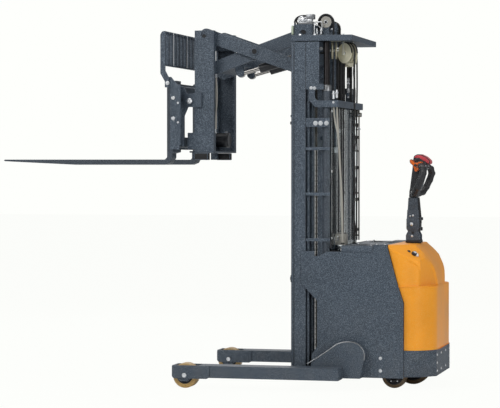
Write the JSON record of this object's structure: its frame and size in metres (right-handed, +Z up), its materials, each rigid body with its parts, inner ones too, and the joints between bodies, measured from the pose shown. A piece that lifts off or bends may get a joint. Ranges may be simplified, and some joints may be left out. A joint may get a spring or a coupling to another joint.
{
  "type": "walkie reach truck",
  "caption": "Walk-behind lift truck with straddle legs, a nested mast, and a scissor arm that carries its tilting fork carriage out in front.",
  "frame": {"origin": "on the floor, halfway between the fork tips and the rear of the hood, on the middle plane", "axes": "+X forward along the forks, +Y to the truck's left, +Z up"},
  "size_m": [2.718, 1.208, 2.2489],
  "materials": {
    "frame_paint": "fine textured powder coat",
    "hood_orange": "satin moulded plastic",
    "black_plastic": "matt",
    "chrome": "polished",
    "steel": "oiled steel",
    "polyurethane": "cast polyurethane on a hub",
    "nylon": "nylon",
    "clear": "clear polycarbonate",
    "battery_case": "plain block",
    "cylinder_paint": "black enamel"
  },
  "bodies": {
    "chassis": {"leg_left": "frame_paint", "leg_right": "frame_paint", "side_plate_left": "frame_paint", "side_plate_right": "frame_paint", "chassis_frame": "frame_paint", "battery": "battery_case", "battery_lid": "frame_paint", "rear_deck": "frame_paint", "hood": "hood_orange", "rear_skirt": "frame_paint", "outer_mast": "frame_paint", "lift_barrels": "cylinder_paint", "guard": "clear", "anchor_chains": "steel"},
    "load_wheel_left": {"load_wheel_left": "polyurethane"},
    "load_wheel_right": {"load_wheel_right": "polyurethane"},
    "caster_left": {"caster_fork_left": "cylinder_paint"},
    "caster_right": {"caster_fork_right": "cylinder_paint"},
    "caster_wheel_left": {"caster_wheel_left": "polyurethane"},
    "caster_wheel_right": {"caster_wheel_right": "polyurethane"},
    "steering": {"drive_unit": "cylinder_paint", "tiller_base": "frame_paint"},
    "drive_wheel": {"drive_wheel": "polyurethane"},
    "tiller": {"tiller_arm": "frame_paint", "tiller_head": "black_plastic"},
    "middle_mast": {"middle_mast": "frame_paint", "lift_rods": "chrome", "chain_sheaves": "steel", "hose_sheaves": "nylon"},
    "inner_mast": {"inner_mast": "frame_paint", "free_lift_barrel": "cylinder_paint", "inner_chains": "steel"},
    "crosshead": {"crosshead": "steel", "crosshead_chain": "steel"},
    "reach_carriage": {"reach_carriage": "frame_paint", "carriage_chain": "steel"},
    "inner_arms": {"inner_arms": "frame_paint"},
    "outer_arms": {"outer_arms": "frame_paint"},
    "front_frame": {"front_frame": "frame_paint"},
    "reach_barrels": {"reach_barrels": "cylinder_paint"},
    "reach_rods": {"reach_rods": "chrome"},
    "tilt_barrel": {"tilt_barrel": "cylinder_paint"},
    "tilt_rod": {"tilt_rod": "chrome"},
    "fork_carriage": {"fork_carriage": "frame_paint", "load_backrest": "frame_paint"},
    "fork_left": {"fork_left": "frame_paint"},
    "fork_right": {"fork_right": "frame_paint"}
  },
  "joints": [
    {"name": "load_wheel_left_spin", "type": "hinge", "parent": "chassis", "child": "load_wheel_left", "pos_m": [0.116, 0.535, 0.075], "axis": [0, 1, 0], "continuous": true},
    {"name": "load_wheel_right_spin", "type": "hinge", "parent": "chassis", "child": "load_wheel_right", "pos_m": [0.116, -0.535, 0.075], "axis": [0, 1, 0], "continuous": true},
    {"name": "caster_left_swivel", "type": "hinge", "parent": "chassis", "child": "caster_left", "pos_m": [-1.131, 0.265, 0.19], "axis": [0, 0, 1], "continuous": true},
    {"name": "caster_right_swivel", "type": "hinge", "parent": "chassis", "child": "caster_right", "pos_m": [-1.131, -0.265, 0.19], "axis": [0, 0, 1], "continuous": true},
    {"name": "caster_left_spin", "type": "hinge", "parent": "caster_left", "child": "caster_wheel_left", "pos_m": [-1.106, 0.265, 0.075], "axis": [0, 1, 0], "continuous": true},
    {"name": "caster_right_spin", "type": "hinge", "parent": "caster_right", "child": "caster_wheel_right", "pos_m": [-1.106, -0.265, 0.075], "axis": [0, 1, 0], "continuous": true},
    {"name": "steering", "type": "hinge", "parent": "chassis", "child": "steering", "pos_m": [-1.178, 0, 0.272], "axis": [0, 0, 1], "range_deg": [-90, 90]},
    {"name": "drive_wheel_spin", "type": "hinge", "parent": "steering", "child": "drive_wheel", "pos_m": [-1.178, 0, 0.105], "axis": [0, 1, 0], "continuous": true},
    {"name": "tiller_tilt", "type": "hinge", "parent": "steering", "child": "tiller", "pos_m": [-1.178, 0, 0.926], "axis": [0, -1, 0], "range_deg": [0, 80], "stiffness_Nm_per_rad": 40, "springref_deg": -17.19},
    {"name": "mast_lift", "type": "slide", "parent": "chassis", "child": "middle_mast", "axis": [0, 0, 1], "range_m": [0, 1.55]},
    {"name": "inner_mast_lift", "type": "slide", "parent": "middle_mast", "child": "inner_mast", "axis": [0, 0, 1], "range_m": [0, 1.55]},
    {"name": "free_lift", "type": "slide", "parent": "inner_mast", "child": "reach_carriage", "axis": [0, 0, 1], "range_m": [-1.29, 0]},
    {"name": "crosshead_lift", "type": "slide", "parent": "inner_mast", "child": "crosshead", "axis": [0, 0, 1], "range_m": [-0.645, 0]},
    {"name": "reach", "type": "hinge", "parent": "reach_carriage", "child": "inner_arms", "pos_m": [-0.544, 0, 2.135], "axis": [0, 1, 0], "range_deg": [0, 53]},
    {"name": "scissor_cross", "type": "hinge", "parent": "inner_arms", "child": "outer_arms", "pos_m": [-0.23509, 0, 2.02622], "axis": [0, 1, 0], "range_deg": [-106, 0]},
    {"name": "scissor_front", "type": "hinge", "parent": "outer_arms", "child": "front_frame", "pos_m": [0.07381, 0, 2.135], "axis": [0, 1, 0], "range_deg": [0, 53]},
    {"name": "reach_barrel_turn", "type": "hinge", "parent": "reach_carriage", "child": "reach_barrels", "pos_m": [-0.56, 0, 2.015], "axis": [0, 1, 0], "range_deg": [0, 62.52]},
    {"name": "reach_rod_slide", "type": "slide", "parent": "reach_barrels", "child": "reach_rods", "axis": [0.9653, 0, -0.2611], "range_m": [-0.0846, 0]},
    {"name": "fork_tilt", "type": "hinge", "parent": "front_frame", "child": "fork_carriage", "pos_m": [0.165, 0, 1.729], "axis": [0, 1, 0], "range_deg": [-5, 3]},
    {"name": "tilt_barrel_turn", "type": "hinge", "parent": "front_frame", "child": "tilt_barrel", "pos_m": [0.087, 0, 1.492], "axis": [0, 1, 0], "range_deg": [-1.6, 1]},
    {"name": "tilt_rod_slide", "type": "slide", "parent": "tilt_barrel", "child": "tilt_rod", "axis": [1, 0, 0], "range_m": [-0.013, 0.021]},
    {"name": "fork_left_slide", "type": "slide", "parent": "fork_carriage", "child": "fork_left", "axis": [0, 1, 0], "range_m": [-0.235, 0.025]},
    {"name": "fork_right_slide", "type": "slide", "parent": "fork_carriage", "child": "fork_right", "axis": [0, -1, 0], "range_m": [-0.235, 0.025]}
  ],
  "couplings": [
    {"joint": "inner_mast_lift", "follows": "mast_lift", "ratio": 1},
    {"joint": "crosshead_lift", "follows": "free_lift", "ratio": 0.5},
    {"joint": "scissor_cross", "follows": "reach", "ratio": -2},
    {"joint": "scissor_front", "follows": "reach", "ratio": 1},
    {"joint": "reach_barrel_turn", "follows": "reach", "ratio": 1.1795},
    {"joint": "reach_rod_slide", "follows": "reach", "m_per_rad": -0.09134},
    {"joint": "tilt_barrel_turn", "follows": "fork_tilt", "ratio": 0.3036},
    {"joint": "tilt_rod_slide", "follows": "fork_tilt", "m_per_rad": -0.237}
  ]
}
